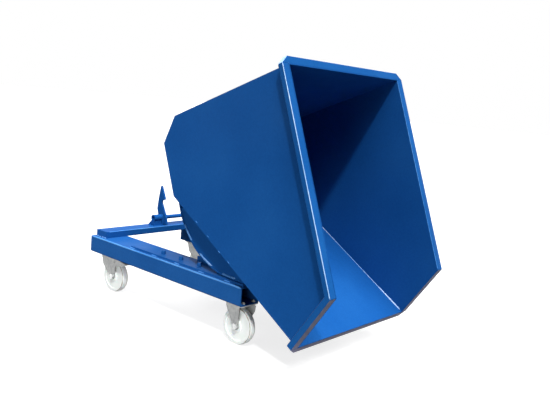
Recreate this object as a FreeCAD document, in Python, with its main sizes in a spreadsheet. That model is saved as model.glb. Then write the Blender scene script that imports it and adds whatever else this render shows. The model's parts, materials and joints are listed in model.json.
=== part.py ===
import FreeCAD, Part
import math
import os
import re
import Sketcher

# Sizes in millimetres and degrees; a formula follows from the sizes above it.
# Frame: origin on the floor under the middle of the wheelbase, +X the way the skip tips, +Z up.
SIZES = [
    # fits
    ("running_fit", "0.05"),
    ("rest_gap", "0.3"),
    ("overrun", "5"),
    # castors
    ("wheel_radius", "100"),
    ("tread_width", "42"),
    ("tread_drop", "4"),
    ("wheel_rim", "20"),
    ("wheel_web", "34"),
    ("hub_radius", "32"),
    ("sleeve_wall", "3"),
    ("axle_radius", "8"),
    ("fork_gap", "46"),
    ("leg_thickness", "4"),
    ("castor_height", "231"),
    ("castor_inset", "80"),
    ("wheelbase", "1095"),
    ("trail", "50"),
    ("mount_length", "138"),
    ("mount_width", "110"),
    ("mount_thickness", "6"),
    ("mount_bolt_x", "52.5"),
    ("mount_bolt_y", "37.5"),
    ("crown_thickness", "6"),
    ("swivel_radius", "42"),
    ("swivel_height", "12"),
    ("kingpin_radius", "9"),
    ("axle_eye", "20"),
    ("fork_hole", "5"),
    # fasteners
    ("axle_head_radius", "17"),
    ("axle_head_height", "11"),
    ("bolt_radius", "6"),
    ("bolt_head_radius", "10.4"),
    ("bolt_head_height", "7"),
    ("bolt_spare", "4"),
    ("kingpin_nut_radius", "15"),
    ("kingpin_nut_height", "9"),
    # base
    ("base_inset", "31.5"),
    ("front_overhang", "70"),
    ("rear_overhang", "169"),
    ("member_height", "102"),
    ("member_width", "192"),
    ("member_foot", "137"),
    ("member_wall", "5"),
    ("fold_radius", "10"),
    ("rail_length", "938"),
    ("rail_width", "110"),
    ("rail_thickness", "12"),
    ("rail_inset", "22"),
    ("rail_setback", "12.5"),
    ("peg_radius", "13"),
    ("peg_height", "22"),
    ("peg_tip", "6"),
    ("peg_taper", "3"),
    ("peg_inset", "67"),
    ("peg_setback", "702.5"),
    ("peg_gap", "155"),
    ("guide_length", "470"),
    ("guide_height", "41"),
    ("guide_thickness", "10"),
    ("guide_gap", "5"),
    ("guide_setback", "20"),
    ("beam_width", "104"),
    ("beam_height", "40"),
    ("beam_end_gap", "30"),
    ("beam_wall", "4"),
    ("beam_inset", "13.5"),
    ("cap_thickness", "4"),
    ("tie_width", "60"),
    ("tie_height", "40"),
    ("tie_setback", "260"),
    ("tie_rise", "30"),
    # skip
    ("skip_width", "947"),
    ("skip_sheet", "4"),
    ("bottom_length", "298"),
    ("chamfer_run", "117"),
    ("chamfer_rise", "126.5"),
    ("mouth_height", "956"),
    ("chute_angle", "37.5"),
    ("chute_length", "1102"),
    ("lip_run", "204"),
    ("rim_width", "46"),
    ("crest_width", "38"),
    ("lip_width", "34"),
    ("rim_depth", "28"),
    ("lip_depth", "31"),
    ("tip_angle", "68.4"),
    # rockers
    ("rocker_radius", "469"),
    ("rocker_x", "64.4"),
    ("rocker_drop", "48.2"),
    ("rocker_tail", "6.5"),
    ("rocker_flat", "103"),
    ("rocker_thickness", "10"),
    ("rocker_width", "90"),
    ("rocker_inset", "15"),
    ("rocker_setback", "118"),
    ("web_thickness", "8"),
    ("web_inset", "3"),
    ("web_rear", "66"),
    ("peg_hole_radius", "18"),
    # latch and keeper
    ("latch_rise", "50"),
    ("shaft_radius", "13.5"),
    ("shaft_recess", "15"),
    ("hook_inset", "73"),
    ("hook_thickness", "12"),
    ("hook_height", "212"),
    ("lug_thickness", "8"),
    ("lug_gap", "3.5"),
    ("lug_radius", "22"),
    ("lug_foot", "26"),
    ("eye_lean", "10"),
    ("far_lug_inset", "106"),
    ("bearing_radius", "21.5"),
    ("bearing_length", "60"),
    ("bearing_end", "8"),
    ("foot_inset", "2"),
    ("foot_thickness", "14"),
    ("collar_radius", "21"),
    ("collar_length", "12"),
    ("collar_gap", "4"),
    ("spring_radius", "17.5"),
    ("wire_radius", "2"),
    ("spring_pitch", "5"),
    ("spring_turns", "5"),
    ("spring_leg", "20"),
    ("spring_clear", "5"),
    ("keeper_x", "107.6"),
    ("keeper_z", "131.5"),
    ("keeper_radius", "10"),
    ("keeper_wing", "98"),
    ("keeper_eye", "18"),
    ("keeper_gap", "10"),
    ("keeper_thickness", "8"),
    ("keeper_end", "4"),
    # follow from the sizes above
    ("base_width", "=skip_width - 2 * base_inset"),
    ("member_length", "=wheelbase + front_overhang + rear_overhang"),
    ("castor_y", "=base_width / 2 - castor_inset"),
    ("rail_y", "=base_width / 2 - rail_inset"),
    ("guide_y", "=rail_y - rail_width - guide_gap - guide_thickness"),
    ("peg_y", "=base_width / 2 - peg_inset"),
    ("rocker_outer", "=rail_y - rocker_inset"),
    ("rocker_inner", "=rocker_outer - rocker_width"),
    ("beam_length", "=base_width - 2 * beam_end_gap"),
    ("front_x", "=wheelbase / 2 + front_overhang"),
    ("rear_x", "=front_x - member_length"),
    ("kingpin_x", "=-wheelbase / 2 - trail"),
    ("mount_z", "=castor_height - mount_thickness"),
    ("crown_top", "=mount_z - swivel_height"),
    ("crown_z", "=crown_top - crown_thickness"),
    ("sleeve_radius", "=axle_radius + running_fit + sleeve_wall"),
    ("member_top", "=castor_height + member_height"),
    ("rail_top", "=member_top + rail_thickness"),
    ("beam_x", "=rear_x + beam_inset + beam_width / 2"),
    ("beam_top", "=member_top + beam_height"),
    ("latch_z", "=beam_top + latch_rise"),
    ("far_lug_y", "=beam_length / 2 - far_lug_inset"),
    ("shaft_far", "=far_lug_y + lug_thickness + collar_gap + collar_length"),
    ("skip_half", "=skip_width / 2"),
    ("skip_inner", "=skip_half - skip_sheet"),
    ("chamfer_angle", "=atan(chamfer_rise / chamfer_run) / 1 deg"),
    ("back_x", "=-bottom_length - chamfer_run"),
    ("chute_x", "=chute_length * cos(chute_angle)"),
    ("chute_z", "=chute_length * sin(chute_angle)"),
    ("lip_x", "=chute_x - lip_run"),
    ("lip_angle", "=atan((mouth_height - chute_z) / lip_run) / 1 deg"),
    ("rocker_z", "=rocker_radius - rocker_drop"),
    ("contact_x", "=front_x - rocker_setback"),
    ("skip_x", "=contact_x - rocker_x * cos(tip_angle) - rocker_z * sin(tip_angle)"),
    ("skip_z", "=rail_top + rest_gap + rocker_radius"
     " + rocker_x * sin(tip_angle) - rocker_z * cos(tip_angle)"),
]

# Outlines of the cut plates, as shares of the size named beside each.
FRONT_LEG_SHARES = [(-0.805, 0.95), (-0.695, 0.74)]
FRONT_LEG_RIGHT_SHARES = [(0.15, 0.34), (0.175, 1.04)]
FRONT_LEG_TOP_SHARES = (-0.84, 0.62)
REAR_LEG_LEFT_SHARE = (-1.025, 0.56)
REAR_LEG_RIGHT_SHARES = [(0.255, 0.25), (0.255, 0.68), (1.195, 0.89), (1.415, 1.0)]
REAR_LEG_TOP_SHARES = (-1.215, 0.475)
FORK_HOLE_SHARE = (0.145, 0.93)
HOOK_SHARES = [
    (-0.0703, -0.2078), (0.2410, -0.2078), (0.1985, 0.0098), (-0.0522, 0.4575),
    (-0.0522, 0.5329), (0.0948, 0.5900), (-0.1035, 1.0000), (-0.1412, 1.0000),
    (-0.2267, 0.5523), (-0.2637, 0.2458), (-0.1603, -0.0617),
]
EYE_START_ANGLE = 213
EYE_END_ANGLE = -15
PEG_COUNT = 4
HEX_SIDES = 6
QUARTERS = 4
SIDES = (("left", 1), ("right", -1))
X_AXIS = FreeCAD.Vector(1, 0, 0)
Y_AXIS = FreeCAD.Vector(0, 1, 0)
Z_AXIS = FreeCAD.Vector(0, 0, 1)
ALONG_Y = -90

doc = FreeCAD.newDocument("TippingSkipTrolley")
sheet = doc.addObject("Spreadsheet::Sheet", "Sizes")
names = {name for name, text in SIZES}
nodes = []


def fill_sheet():
    for row, (name, text) in enumerate(SIZES, start=1):
        sheet.set("A%d" % row, name)
        sheet.set("B%d" % row, text)
        sheet.setAlias("B%d" % row, name)
    doc.recompute()


# Point the words of an expression at the sheet's cells.
def ref(text):
    return re.sub(r"[a-z][a-z_]*", lambda word: link(word.group(0)), str(text))


def link(word):
    return "Sizes." + word if word in names else word


def value(text):
    return float(sheet.evalExpression(ref(text)))


def share(amount, size):
    return "%.6f * %s" % (amount, size)


def vector(x, y, z):
    return FreeCAD.Vector(value(x), value(y), value(z))


def bind(item, **sizes):
    for key, text in sizes.items():
        item.setExpression(key, ref(text))


def keep(item, name):
    item.Label = name
    nodes.append(item)
    return item


# Y range on one side, from the size nearer the middle to the outer one.
def span(side, inner, outer):
    if side > 0:
        return inner, outer
    return "-(%s)" % outer, "-(%s)" % inner


def sketch_on(body, name, plane, lift):
    sketch = body.newObject("Sketcher::SketchObject", name)
    support = [item for item in body.Origin.OriginFeatures if item.Role == plane][0]
    sketch.AttachmentSupport = [(support, "")]
    sketch.MapMode = "FlatFace"
    sketch.setExpression("AttachmentOffset.Base.z", ref(lift))
    return sketch


# An arc from one corner to the next, counter-clockwise where turn is positive.
def arc_edge(start, finish, radius, turn):
    chord = finish - start
    rise = math.sqrt(max(radius ** 2 - (chord.Length / 2) ** 2, 0))
    left = FreeCAD.Vector(-chord.y, chord.x, 0).normalize()
    centre = (start + finish) / 2 + left * rise * turn
    angles = [math.atan2(point.y - centre.y, point.x - centre.x) for point in (start, finish)]
    if turn < 0:
        angles.reverse()
    return Part.ArcOfCircle(Part.Circle(centre, Z_AXIS, radius), angles[0], angles[1])


# A closed outline; a corner is (x, y), or (x, y, radius, turn) where an arc leaves it.
def outline(sketch, points):
    first = sketch.GeometryCount
    corners = [FreeCAD.Vector(value(point[0]), value(point[1]), 0) for point in points]
    ends = []
    for index, point in enumerate(points):
        start = corners[index]
        finish = corners[(index + 1) % len(points)]
        if len(point) == 2:
            sketch.addGeometry(Part.LineSegment(start, finish))
            ends.append((1, 2))
        else:
            sketch.addGeometry(arc_edge(start, finish, value(point[2]), point[3]))
            ends.append((1, 2) if point[3] > 0 else (2, 1))
    for index, point in enumerate(points):
        after = (index + 1) % len(points)
        edge = first + index
        sketch.addConstraint(Sketcher.Constraint(
            "Coincident", edge, ends[index][1], first + after, ends[after][0]))
        corner = corners[index]
        across = Sketcher.Constraint("DistanceX", -1, 1, edge, ends[index][0], corner.x)
        along = Sketcher.Constraint("DistanceY", -1, 1, edge, ends[index][0], corner.y)
        tie(sketch, across, point[0])
        tie(sketch, along, point[1])
        if len(point) > 2:
            tie(sketch, Sketcher.Constraint("Radius", edge, value(point[2])), point[2])


def tie(sketch, constraint, text):
    index = sketch.addConstraint(constraint)
    sketch.setExpression("Constraints[%d]" % index, ref(text))


def ring(sketch, x, y, radius):
    centre = FreeCAD.Vector(value(x), value(y), 0)
    edge = sketch.addGeometry(Part.Circle(centre, Z_AXIS, value(radius)))
    tie(sketch, Sketcher.Constraint("DistanceX", -1, 1, edge, 3, centre.x), x)
    tie(sketch, Sketcher.Constraint("DistanceY", -1, 1, edge, 3, centre.y), y)
    tie(sketch, Sketcher.Constraint("Radius", edge, value(radius)), radius)


# A padded body; loops of three texts are round holes.
def padded(name, plane, loops, lift, depth):
    body = doc.addObject("PartDesign::Body", name)
    sketch = sketch_on(body, name + "_outline", plane, lift)
    for points in loops:
        if isinstance(points, tuple):
            ring(sketch, *points)
        else:
            outline(sketch, points)
    solid = body.newObject("PartDesign::Pad", name + "_pad")
    solid.Profile = sketch
    bind(solid, Length=depth)
    return body


# A plate standing along X, between two Y values.
def slab(name, loops, low, high):
    return padded(name, "XZ_Plane", loops, "-(%s)" % high, "(%s) - (%s)" % (high, low))


def turned(name, points):
    body = doc.addObject("PartDesign::Body", name)
    sketch = sketch_on(body, name + "_outline", "XY_Plane", "0")
    outline(sketch, points)
    solid = body.newObject("PartDesign::Revolution", name + "_turn")
    solid.Profile = sketch
    solid.ReferenceAxis = (sketch, ["V_Axis"])
    return body


def box(name, x, y, z, length, width, height):
    item = doc.addObject("Part::Box", name)
    bind(item, Length=length, Width=width, Height=height)
    item.Placement.Base = vector(x, y, z)
    return item


def rod(name, radius, height, at, axis=Z_AXIS, angle=0):
    item = doc.addObject("Part::Cylinder", name)
    bind(item, Radius=radius, Height=height)
    item.Placement = FreeCAD.Placement(at, FreeCAD.Rotation(axis, angle))
    return item


def hexagon(name, radius, height, at, axis=Z_AXIS, angle=0):
    item = doc.addObject("Part::Prism", name)
    item.Polygon = HEX_SIDES
    bind(item, Circumradius=radius, Height=height)
    item.Placement = FreeCAD.Placement(at, FreeCAD.Rotation(axis, angle))
    return item


def fused(name, items):
    item = doc.addObject("Part::MultiFuse", name)
    item.Shapes = items
    return item


def grouped(name, items):
    item = doc.addObject("Part::Compound", name)
    item.Links = items
    return item


def cut(name, base, tools):
    item = doc.addObject("Part::Cut", name)
    item.Base = base
    item.Tool = grouped(name + "_tools", tools)
    return item


# Skip pieces are drawn standing upright from the bottom's front corner and then tipped.
def tipped(item, x="0", z="0", extra="0"):
    tilt = FreeCAD.Rotation(Y_AXIS, value("tip_angle"))
    base = vector("skip_x", "0", "skip_z") + tilt.multVec(vector(x, "0", z))
    item.Placement = FreeCAD.Placement(base, FreeCAD.Rotation(Y_AXIS, value("tip_angle") + value(extra)))
    return item


def side_plates():
    points = [
        ("0", "0"), ("chute_x", "chute_z"), ("lip_x", "mouth_height"), ("back_x", "mouth_height"),
        ("back_x", "chamfer_rise"), ("-bottom_length", "0"),
    ]
    for word, side in SIDES:
        plate = slab("side_plate_" + word, [points], *span(side, "skip_inner", "skip_half"))
        keep(tipped(plate), "side_plate_" + word)


# Floor and back panels lie inside the plates' outline and meet in mitres.
def panels():
    front = ("-skip_sheet * tan(chute_angle / 2)", "skip_sheet")
    rear = ("-bottom_length + skip_sheet * tan(chamfer_angle / 2)", "skip_sheet")
    bend = ("back_x + skip_sheet", "chamfer_rise + skip_sheet * tan((90 - chamfer_angle) / 2)")
    inner_end = ("chute_x - skip_sheet * sin(chute_angle)", "chute_z + skip_sheet * cos(chute_angle)")
    bottom = [("-bottom_length", "0"), ("0", "0"), front, rear]
    chute = [("0", "0"), ("chute_x", "chute_z"), inner_end, front]
    chamfer = [("back_x", "chamfer_rise"), ("-bottom_length", "0"), rear, bend]
    back = [
        ("back_x", "mouth_height"), ("back_x", "chamfer_rise"),
        bend, ("back_x + skip_sheet", "mouth_height"),
    ]
    for word, points in (("bottom", bottom), ("chute", chute), ("chamfer", chamfer), ("back", back)):
        panel = slab(word + "_panel", [points], "-skip_inner", "skip_inner")
        keep(tipped(panel), word + "_panel")


# A folded rim strip with cut corners, open below and towards the skip.
def rim_strip(name, width, depth):
    wide = "skip_half + rim_width"
    slant = "sqrt(%s ^ 2 + rim_width ^ 2)" % width
    block = padded(name + "_block", "XY_Plane", [[
        ("0", "-(%s)" % wide), ("0", wide), ("-" + width, "skip_half"), ("-" + width, "-skip_half"),
    ]], "-" + depth, depth)
    reach = "skip_half - skip_sheet * (%s - rim_width) / %s" % (slant, width)
    inset = "skip_half + ((overrun + %s) * rim_width - skip_sheet * %s) / %s" % (width, slant, width)
    edge = "skip_sheet - " + width
    hollow = padded(name + "_hollow", "XY_Plane", [[
        ("overrun", "-(%s)" % inset), ("overrun", inset), (edge, reach), (edge, "-(%s)" % reach),
    ]], "-%s - overrun" % depth, "%s + overrun - skip_sheet" % depth)
    return cut(name, block, [hollow])


def rims():
    keep(tipped(rim_strip("rim_back", "crest_width", "rim_depth"), "back_x", "mouth_height"), "rim_back")
    strip = rim_strip("rim_lip_strip", "lip_width", "lip_depth")
    tipped(strip, "chute_x", "chute_z", "lip_angle")
    about = FreeCAD.Placement(FreeCAD.Vector(), FreeCAD.Rotation(Z_AXIS, 180))
    strip.Placement = strip.Placement.multiply(about)
    keep(cut("rim_lip", strip, [lip_trim()]), "rim_lip")
    for word, side in SIDES:
        side_rim(word, side)


# The lip strip is cut along the line of the chute panel's outer face.
def lip_trim():
    ends = [("chute_x + (%s) * cos(chute_angle)" % along, "chute_z + (%s) * sin(chute_angle)" % along)
            for along in ("overrun", "-lip_depth - overrun")]
    lifted = [("%s - lip_depth * sin(chute_angle)" % x, "%s + lip_depth * cos(chute_angle)" % z)
              for x, z in ends]
    wide = "skip_half + rim_width + overrun"
    return tipped(slab("lip_trim", [ends + lifted[::-1]], "-(%s)" % wide, wide))


# The side strips bend from the mouth into the lip cut.
def side_rim(word, side):
    bend_x = "lip_x - (%s) * sin(lip_angle) + (%s - (%s) * cos(lip_angle)) / tan(lip_angle)"
    inner = bend_x % ("lip_depth", "rim_depth", "lip_depth")
    shell = bend_x % ("skip_sheet", "skip_sheet", "skip_sheet")
    name = "rim_" + word
    block = slab(name + "_block", [[
        ("back_x", "mouth_height"), ("back_x", "mouth_height - rim_depth"),
        (inner, "mouth_height - rim_depth"),
        ("chute_x - lip_depth * cos(chute_angle)", "chute_z - lip_depth * sin(chute_angle)"),
        ("chute_x", "chute_z"), ("lip_x", "mouth_height"),
    ]], *span(side, "skip_half", "skip_half + rim_width"))
    end_x = "chute_x - skip_sheet * sin(lip_angle) + overrun * cos(lip_angle)"
    end_z = "chute_z - skip_sheet * cos(lip_angle) - overrun * sin(lip_angle)"
    deep_x = "(rim_depth + overrun) * cos(chute_angle)"
    deep_z = "(rim_depth + overrun) * sin(chute_angle)"
    hollow = slab(name + "_hollow", [[
        ("back_x - overrun", "mouth_height - skip_sheet"),
        ("back_x - overrun", "mouth_height - rim_depth - overrun"),
        ("lip_x - rim_depth", "mouth_height - rim_depth - overrun"),
        ("%s - %s" % (end_x, deep_x), "%s - %s" % (end_z, deep_z)),
        (end_x, end_z), (shell, "mouth_height - skip_sheet"),
    ]], *span(side, "skip_half - overrun", "skip_half + rim_width - skip_sheet"))
    keep(tipped(cut(name, block, [hollow])), name)


def on_arc(radius, angle):
    return "rocker_x + (%s) * sin(%s)" % (radius, angle), "rocker_z - (%s) * cos(%s)" % (radius, angle)


# The flat that follows the arc, up to its end.
def on_flat(radius):
    x, z = on_arc(radius, "tip_angle")
    return "%s + rocker_flat * cos(tip_angle)" % x, "%s + rocker_flat * sin(tip_angle)" % z


def peg_x(index):
    return "front_x - peg_setback + %d * peg_gap" % index


def rocker_flanges():
    inside = "rocker_radius - rocker_thickness"
    points = [
        on_arc("rocker_radius", "-rocker_tail") + ("rocker_radius", 1), on_arc("rocker_radius", "tip_angle"),
        on_flat("rocker_radius"), on_flat(inside),
        on_arc(inside, "tip_angle") + (inside, -1), on_arc(inside, "-rocker_tail"),
    ]
    for word, side in SIDES:
        name = "rocker_flange_" + word
        strip = slab(name + "_strip", [points], *span(side, "rocker_inner", "rocker_outer"))
        holes = [peg_hole(name, index, side) for index in range(PEG_COUNT)]
        keep(tipped(cut(name, strip, holes)), name)


# A peg's hole sits where the rolling rocker meets that peg.
def peg_hole(name, index, side):
    turn = math.degrees((value("contact_x") - value(peg_x(index))) / value("rocker_radius"))
    angle = value("tip_angle") - turn
    x, z = on_arc("rocker_radius + overrun", "%.9f" % angle)
    at = vector(x, "%d * peg_y" % side, z)
    depth = "rocker_thickness + 2 * overrun"
    return rod(name + "_hole_%d" % index, "peg_hole_radius", depth, at, Y_AXIS, -angle)


def rocker_webs():
    inside = "rocker_radius - rocker_thickness"
    foot_x, foot_z = on_flat(inside)
    drop = "(%s - (%s) * sin(chute_angle) / cos(chute_angle))" % (foot_z, foot_x)
    slope = "(cos(tip_angle) + sin(tip_angle) * sin(chute_angle) / cos(chute_angle))"
    climb = "-%s / %s" % (drop, slope)
    points = [
        ("web_rear", "rocker_z - sqrt((%s) ^ 2 - (web_rear - rocker_x) ^ 2)" % inside, inside, 1),
        on_arc(inside, "tip_angle"),
        (foot_x, foot_z),
        ("%s - (%s) * sin(tip_angle)" % (foot_x, climb), "%s + (%s) * cos(tip_angle)" % (foot_z, climb)),
        ("web_rear", "web_rear * sin(chute_angle) / cos(chute_angle)"),
    ]
    for word, side in SIDES:
        name = "rocker_web_" + word
        low, high = span(side, "rocker_outer - web_inset - web_thickness", "rocker_outer - web_inset")
        keep(tipped(slab(name, [points], low, high)), name)


# Two lugs on the back panel carry the pin that the hook holds when the skip is upright.
def keeper():
    pin = ("back_x - keeper_x", "keeper_z", "keeper_radius + running_fit")
    points = [
        ("back_x", "chamfer_rise"), ("back_x", "chamfer_rise + keeper_wing"),
        ("back_x - keeper_x + keeper_eye * sin(eye_lean)", "keeper_z + keeper_eye * cos(eye_lean)",
         "keeper_eye", 1),
        ("back_x - keeper_x", "keeper_z - keeper_eye"),
    ]
    plates = []
    for word, side in SIDES:
        near = "hook_inset + %d * (hook_thickness / 2 + keeper_gap)" % side
        far = "hook_inset + %d * (hook_thickness / 2 + keeper_gap + keeper_thickness)" % side
        low, high = (near, far) if side > 0 else (far, near)
        plates.append(slab("keeper_lug_" + word, [points, pin], low, high))
    keep(tipped(grouped("keeper_lugs", plates)), "keeper_lugs")
    reach = "hook_thickness / 2 + keeper_gap + keeper_thickness + keeper_end"
    body = slab("keeper_pin", [("back_x - keeper_x", "keeper_z", "keeper_radius")],
                "hook_inset - (%s)" % reach, "hook_inset + %s" % reach)
    keep(tipped(body), "keeper_pin")


def mount_bolts(side, x):
    spots = []
    for across in (-1, 1):
        for along in (-1, 1):
            y = "%d * castor_y + %d * mount_bolt_y" % (side, across)
            spots.append(("%s + %d * mount_bolt_x" % (x, along), y))
    return spots


def bolt_holes(name, side, x, z, depth):
    tools = []
    for index, (bolt_x, bolt_y) in enumerate(mount_bolts(side, x)):
        at = vector(bolt_x, bolt_y, "%s - overrun" % z)
        tools.append(rod("%s_%d" % (name, index), "bolt_radius + running_fit",
                         "%s + 2 * overrun" % depth, at))
    return tools


# A rectangle with round corners, drawn counter-clockwise.
def rounded(left, right, low, high, radius):
    return [
        ("%s + %s" % (left, radius), low), ("%s - (%s)" % (right, radius), low, radius, 1),
        (right, "%s + %s" % (low, radius)), (right, "%s - (%s)" % (high, radius), radius, 1),
        ("%s - (%s)" % (right, radius), high), ("%s + %s" % (left, radius), high, radius, 1),
        (left, "%s - (%s)" % (high, radius)), (left, "%s + %s" % (low, radius), radius, 1),
    ]


# Side members: a box open at both ends, its top flange carried on inwards.
def side_members():
    low = "castor_height"
    outer = "base_width / 2"
    inner = "base_width / 2 - member_foot"
    edge = "base_width / 2 - member_width"
    profile = [
        (inner, low), ("%s - fold_radius" % outer, low, "fold_radius", 1),
        (outer, "%s + fold_radius" % low), (outer, "member_top - fold_radius", "fold_radius", 1),
        ("%s - fold_radius" % outer, "member_top"), (edge, "member_top"),
        (edge, "member_top - member_wall"), (inner, "member_top - member_wall"),
    ]
    for word, side in SIDES:
        name = "side_member_" + word
        outline = profile
        if side < 0:
            outline = [("-(%s)" % point[0], point[1]) + flipped(point) for point in profile]
        left, right = span(side, inner, outer)
        hollow = rounded("%s + member_wall" % left, "%s - member_wall" % right, "%s + member_wall" % low,
                         "member_top - member_wall", "fold_radius - member_wall")
        section = padded(name + "_section", "YZ_Plane", [outline, hollow], "rear_x", "member_length")
        tools = bolt_holes(name + "_front", side, "wheelbase / 2", low, "member_wall")
        tools += bolt_holes(name + "_rear", side, "kingpin_x", low, "member_wall")
        keep(cut(name, section, tools), name)


def flipped(point):
    return (point[2], -point[3]) if len(point) > 2 else ()


def rails():
    for word, side in SIDES:
        low, high = span(side, "rail_y - rail_width", "rail_y")
        rail = box("rail_" + word, "front_x - rail_setback - rail_length", low, "member_top",
                   "rail_length", "rail_width", "rail_thickness")
        keep(rail, "rail_" + word)
        low, high = span(side, "guide_y", "guide_y + guide_thickness")
        guide = box("guide_" + word, "front_x - guide_setback - guide_length", low, "member_top",
                    "guide_length", "guide_thickness", "guide_height")
        keep(guide, "guide_" + word)


# Tapered pegs along both rails.
def pegs():
    solids = []
    body = [
        ("0", "0"), ("peg_radius", "0"), ("peg_radius", "peg_height - peg_tip"),
        ("peg_radius - peg_taper", "peg_height"), ("0", "peg_height"),
    ]
    for word, side in SIDES:
        for index in range(PEG_COUNT):
            peg = turned("peg_%s_%d" % (word, index), body)
            at = vector(peg_x(index), "%d * peg_y" % side, "rail_top")
            peg.Placement = FreeCAD.Placement(at, FreeCAD.Rotation(X_AXIS, -ALONG_Y))
            solids.append(peg)
    keep(grouped("rail_pegs", solids), "rail_pegs")


# Closed box beam across the rear ends of the side members, and the tie between their front halves.
def cross_members():
    beam = tube("cross_beam", "beam_x", "member_top", "beam_width", "beam_height",
                "beam_length - 2 * cap_thickness")
    keep(beam, "cross_beam")
    caps = []
    for word, side in SIDES:
        low, high = span(side, "beam_length / 2 - cap_thickness", "beam_length / 2")
        caps.append(box("beam_cap_" + word, "beam_x - beam_width / 2", low, "member_top",
                        "beam_width", "cap_thickness", "beam_height"))
    keep(grouped("beam_caps", caps), "beam_caps")
    tie_bar = tube("front_tie", "front_x - tie_setback", "castor_height + tie_rise",
                   "tie_width", "tie_height", "base_width - 2 * member_foot")
    keep(tie_bar, "front_tie")


def tube(name, x, z, width, height, length):
    inner = "%s / 2 - beam_wall" % width
    outer = "%s / 2" % width
    loops = []
    for reach, low, high in ((outer, z, "%s + %s" % (z, height)),
                             (inner, "%s + beam_wall" % z, "%s + %s - beam_wall" % (z, height))):
        left = "%s - (%s)" % (x, reach)
        right = "%s + (%s)" % (x, reach)
        loops.append([(left, low), (right, low), (right, high), (left, high)])
    return slab(name, loops, "-(%s) / 2" % length, "(%s) / 2" % length)


def latch_lugs():
    hole = ("beam_x", "latch_z", "shaft_radius + running_fit")
    points = [
        ("beam_x - lug_foot", "beam_top"), ("beam_x + lug_foot", "beam_top"),
        ("beam_x + lug_radius * cos(eye_lean)", "latch_z + lug_radius * sin(eye_lean)", "lug_radius", 1),
        ("beam_x - lug_radius * cos(eye_lean)", "latch_z + lug_radius * sin(eye_lean)"),
    ]
    reach = "hook_thickness / 2 + lug_gap"
    near = "hook_inset - (%s) - lug_thickness" % reach
    plates = []
    for index, low in enumerate((near, "hook_inset + %s" % reach, "far_lug_y")):
        plates.append(slab("latch_lug_%d" % index, [points, hole], low, "%s + lug_thickness" % low))
    keep(grouped("latch_lugs", plates), "latch_lugs")


def latch():
    centre = ("beam_x", "latch_z")
    shaft = slab("latch_shaft", [centre + ("shaft_radius",)], "shaft_recess - bearing_end", "shaft_far")
    keep(shaft, "latch_shaft")
    bore = centre + ("shaft_radius + running_fit",)
    hook_points = [("beam_x + " + share(x, "hook_height"), "latch_z + " + share(z, "hook_height"))
                   for x, z in HOOK_SHARES]
    hook = slab("hook", [hook_points, bore],
                "hook_inset - hook_thickness / 2", "hook_inset + hook_thickness / 2")
    keep(hook, "hook")
    collar = slab("shaft_collar", [centre + ("collar_radius",), bore],
                  "shaft_far - collar_length", "shaft_far")
    keep(collar, "shaft_collar")
    bearing = slab("latch_bearing", [centre + ("bearing_radius",), bore],
                   "-bearing_end", "bearing_length - bearing_end")
    keep(bearing, "latch_bearing")


# A gusset on the beam carries the bearing tube.
def bearing_foot():
    heel = "beam_x - beam_width / 2 + foot_inset"
    points = [
        (heel, "beam_top"), ("beam_x + foot_thickness", "beam_top"),
        ("beam_x + foot_thickness", "latch_z"), ("beam_x", "latch_z"),
    ]
    plate = slab("bearing_plate", [points], "-bearing_end", "bearing_length - bearing_end")
    at = vector("beam_x", "-bearing_end - overrun", "latch_z")
    tool = rod("bearing_tool", "bearing_radius", "bearing_length + 2 * overrun", at, X_AXIS, ALONG_Y)
    keep(cut("bearing_foot", plate, [tool]), "bearing_foot")


# Return spring: one leg on the beam, the coil round the shaft, one leg to the rear.
def return_spring():
    start_y = "far_lug_y - spring_clear - spring_turns * spring_pitch - spring_pitch"
    pivot = vector("beam_x", start_y, "latch_z")
    radius = value("spring_radius")
    pitch = value("spring_pitch")

    def coil(quarter):
        angle = math.pi / 2 * quarter
        along = pitch * quarter / QUARTERS
        return pivot + FreeCAD.Vector(radius * math.cos(angle), along, radius * math.sin(angle))

    quarters = int(value("spring_turns")) * QUARTERS + 1
    foot = FreeCAD.Vector(coil(0).x, coil(0).y, value("beam_top"))
    edges = [Part.LineSegment(foot, coil(0)).toShape()]
    for quarter in range(quarters):
        edges.append(Part.Arc(coil(quarter), coil(quarter + 0.5), coil(quarter + 1)).toShape())
    tail = coil(quarters)
    edges.append(Part.LineSegment(tail, tail - X_AXIS * value("spring_leg")).toShape())
    section = Part.Wire(Part.Circle(foot, Z_AXIS, value("wire_radius")).toShape())
    item = doc.addObject("Part::Feature", "return_spring")
    item.Shape = Part.Wire(edges).makePipeShell([section], True, False)
    print("spring gap to itself", pitch - 2 * value("wire_radius"))
    keep(item, "return_spring")


def leg_points(x, left, right, top, height):
    eye = [("%s + axle_eye * cos(%d)" % (x, angle), "wheel_radius + axle_eye * sin(%d)" % angle)
           for angle in (EYE_START_ANGLE, EYE_END_ANGLE)]
    corners = [("%s + %s" % (x, share(dx, "wheel_radius")), "wheel_radius + " + share(dz, "wheel_radius"))
               for dx, dz in left]
    points = [("%s + %s" % (x, share(top[0], "wheel_radius")), height)] + corners
    points += [eye[0] + ("axle_eye", 1), eye[1]]
    points += [("%s + %s" % (x, share(dx, "wheel_radius")), "wheel_radius + " + share(dz, "wheel_radius"))
               for dx, dz in right]
    return points + [("%s + %s" % (x, share(top[1], "wheel_radius")), height)]


def leg_spans(side):
    middle = "%d * castor_y" % side
    inner = "fork_gap / 2"
    outer = "fork_gap / 2 + leg_thickness"
    return [("%s - (%s)" % (middle, outer), "%s - (%s)" % (middle, inner)),
            ("%s + %s" % (middle, inner), "%s + %s" % (middle, outer))]


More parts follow.
